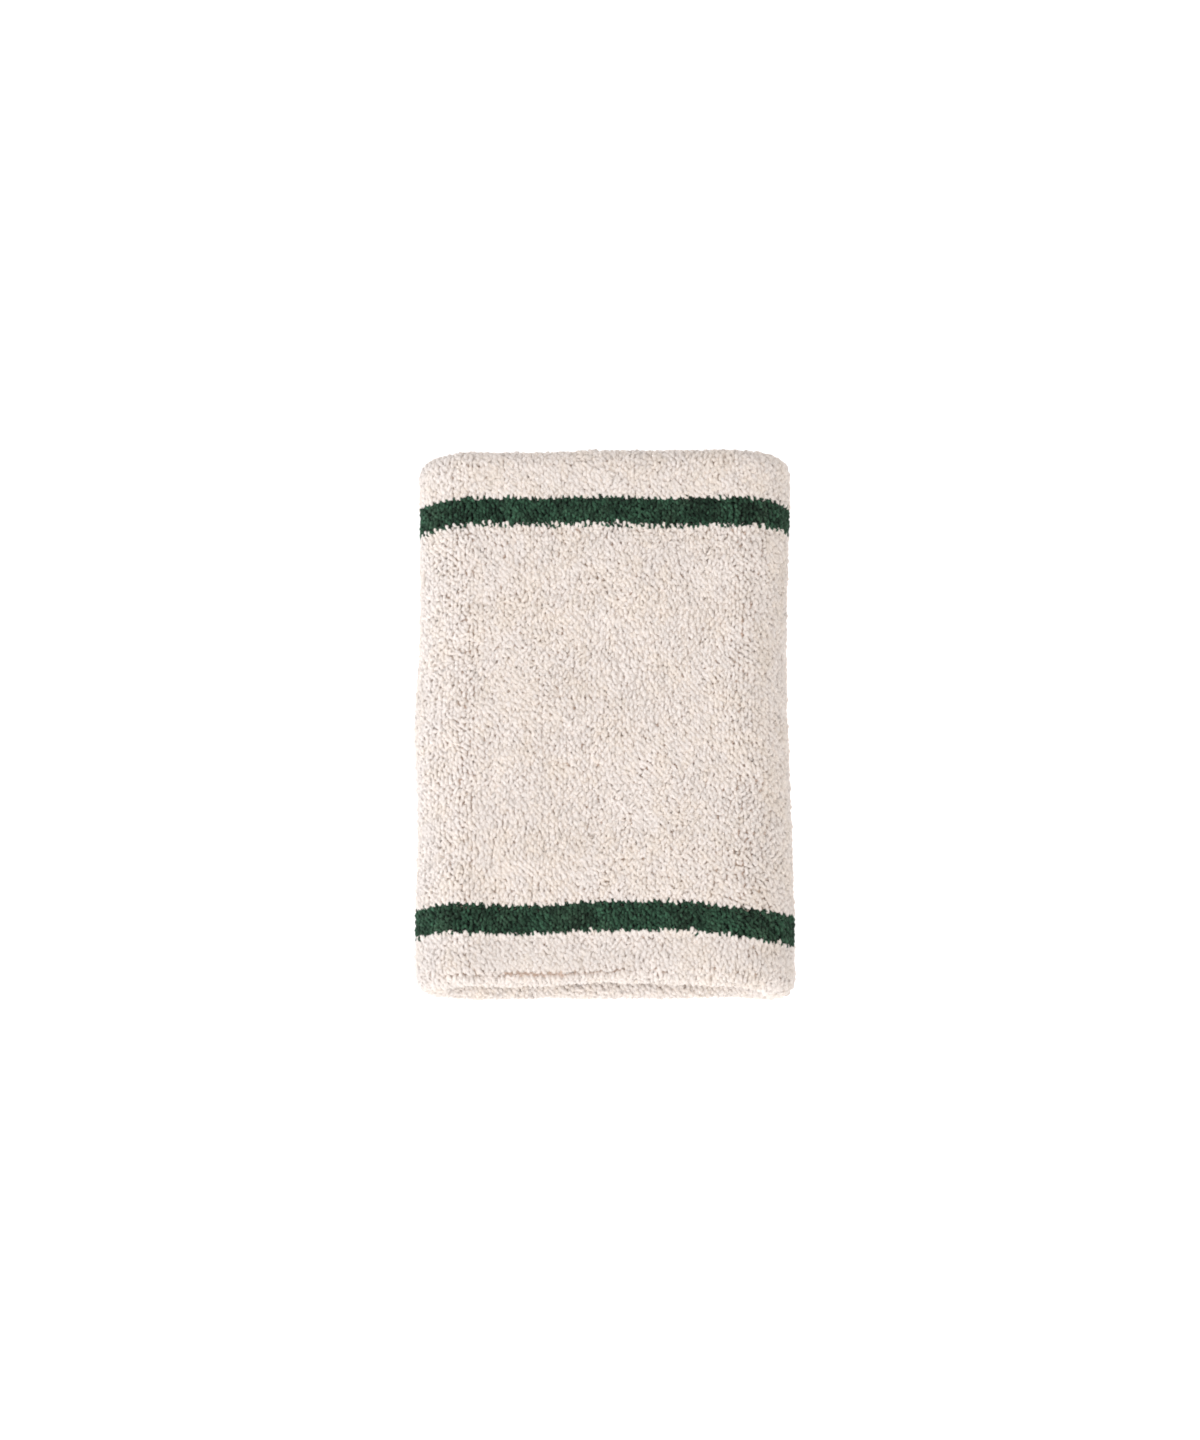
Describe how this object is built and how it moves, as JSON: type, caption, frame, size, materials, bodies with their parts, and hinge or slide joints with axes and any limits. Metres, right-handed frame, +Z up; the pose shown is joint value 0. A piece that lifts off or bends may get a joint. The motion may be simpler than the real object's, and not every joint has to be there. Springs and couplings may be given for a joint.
{
  "type": "sweat wristband",
  "caption": "Long knitted terry sweat wristband, a doubled tube lying flat, cream looped pile inside and out with a narrow dark green stripe near each rolled end.",
  "frame": {"origin": "under the middle of the band, on the surface that it lies on", "axes": "+Y along the band's axis towards its upper end, +X across the flattened band, +Z up from the back of the band through its front"},
  "size_m": [0.0816, 0.118, 0.026],
  "materials": {
    "cream_terry": "uncut cotton loop pile, matte",
    "green_terry": "uncut cotton loop pile, matte, denser and lower",
    "cream_lining": "uncut cotton loop pile, matte",
    "ground_knit": "plain knit of fine nylon and cotton yarn",
    "elastic": "covered rubber thread",
    "seam_thread": "twisted polyester sewing thread"
  },
  "bodies": {
    "root": {"face_terry_centre": "cream_terry", "stripe_terry_upper": "green_terry", "stripe_terry_lower": "green_terry", "edge_terry_upper": "cream_terry", "edge_terry_lower": "cream_terry", "lining_terry_upper": "cream_lining", "lining_terry_lower": "cream_lining", "ground_knit": "ground_knit", "elastic_thread": "elastic", "closing_seam_thread": "seam_thread"}
  },
  "joints": []
}
